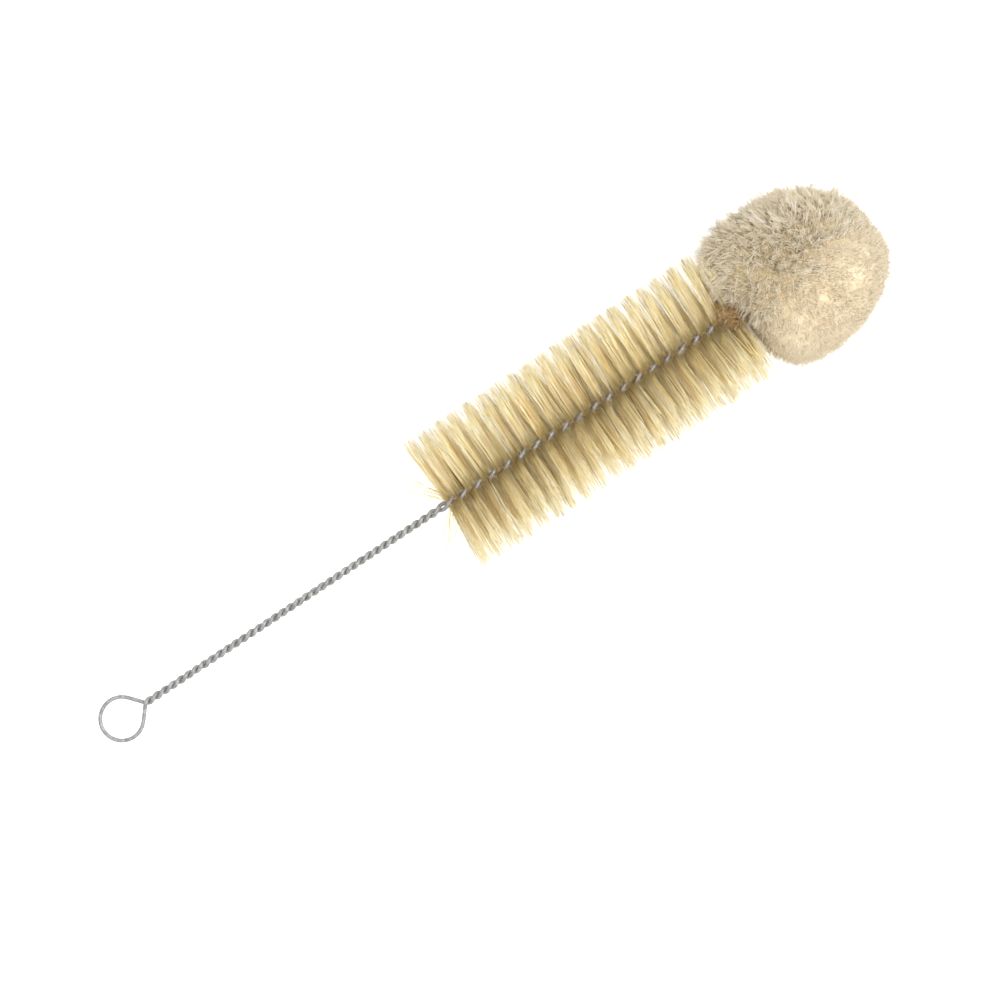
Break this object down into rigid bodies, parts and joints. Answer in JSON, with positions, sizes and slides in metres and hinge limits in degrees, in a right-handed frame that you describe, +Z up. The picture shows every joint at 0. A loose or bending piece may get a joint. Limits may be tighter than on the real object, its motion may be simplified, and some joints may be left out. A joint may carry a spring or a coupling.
{
  "type": "bottle brush",
  "caption": "Bottle brush on a twisted wire handle with a hanging eye, a round head of natural bristles and a soft cotton ball at its tip.",
  "frame": {"origin": "on the floor under the middle of the brush's length, below its axis", "axes": "+X along the brush from the hanging eye to the cotton ball, +Z up from the floor it lies on"},
  "size_m": [0.35, 0.065, 0.0606],
  "materials": {
    "galvanised_wire": "satin galvanised steel wire, slightly mottled",
    "natural_bristle": "straw-coloured natural bristle, darker towards the wire",
    "cotton_wool": "soft undyed cotton tufts, cream"
  },
  "bodies": {
    "root": {"core_wire": "galvanised_wire", "bristle_fill": "natural_bristle", "cotton_tip": "cotton_wool"}
  },
  "joints": []
}
